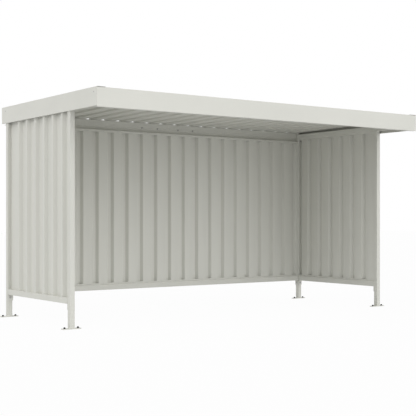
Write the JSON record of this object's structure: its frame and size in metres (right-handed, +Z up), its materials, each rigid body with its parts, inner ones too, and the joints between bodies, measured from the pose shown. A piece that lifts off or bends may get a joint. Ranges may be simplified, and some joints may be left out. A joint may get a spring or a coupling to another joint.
{
  "type": "three-sided storage shelter",
  "caption": "Open-fronted steel storage shelter: square posts on bolt-down base plates, trapezoidal sheet walls on raised rails, and a ribbed roof behind a deep fascia.",
  "frame": {"origin": "on the ground at the middle of the whole outline", "axes": "+X to the right as seen from the open front, +Y to the rear wall, +Z up"},
  "size_m": [4.495, 2.209, 2.3575],
  "materials": {
    "frame_paint": "satin grey-white powder coat",
    "sheet_paint": "satin grey-white coil coating",
    "fascia_paint": "satin grey-white powder coat"
  },
  "bodies": {
    "root": {"post_front_left": "frame_paint", "post_front_right": "frame_paint", "post_rear_left": "frame_paint", "post_rear_right": "frame_paint", "base_plate_front_left": "frame_paint", "base_plate_front_right": "frame_paint", "base_plate_rear_left": "frame_paint", "base_plate_rear_right": "frame_paint", "left_bottom_rail": "frame_paint", "rear_bottom_rail": "frame_paint", "right_bottom_rail": "frame_paint", "left_top_rail": "frame_paint", "rear_top_rail": "frame_paint", "right_top_rail": "frame_paint", "rear_wall_sheet_1": "sheet_paint", "rear_wall_sheet_2": "sheet_paint", "rear_wall_sheet_3": "sheet_paint", "rear_wall_sheet_4": "sheet_paint", "rear_wall_sheet_5": "sheet_paint", "left_wall_sheet_1": "sheet_paint", "left_wall_sheet_2": "sheet_paint", "right_wall_sheet_1": "sheet_paint", "right_wall_sheet_2": "sheet_paint", "roof_sheet_1": "sheet_paint", "roof_sheet_2": "sheet_paint", "roof_sheet_3": "sheet_paint", "roof_sheet_4": "sheet_paint", "roof_sheet_5": "sheet_paint", "front_beam": "frame_paint", "rear_beam_left": "frame_paint", "rear_beam_right": "frame_paint", "rear_beam_splice_plate": "frame_paint", "left_roof_arm": "frame_paint", "right_roof_arm": "frame_paint", "left_fascia": "fascia_paint", "right_fascia": "fascia_paint", "front_fascia": "fascia_paint"}
  },
  "joints": []
}
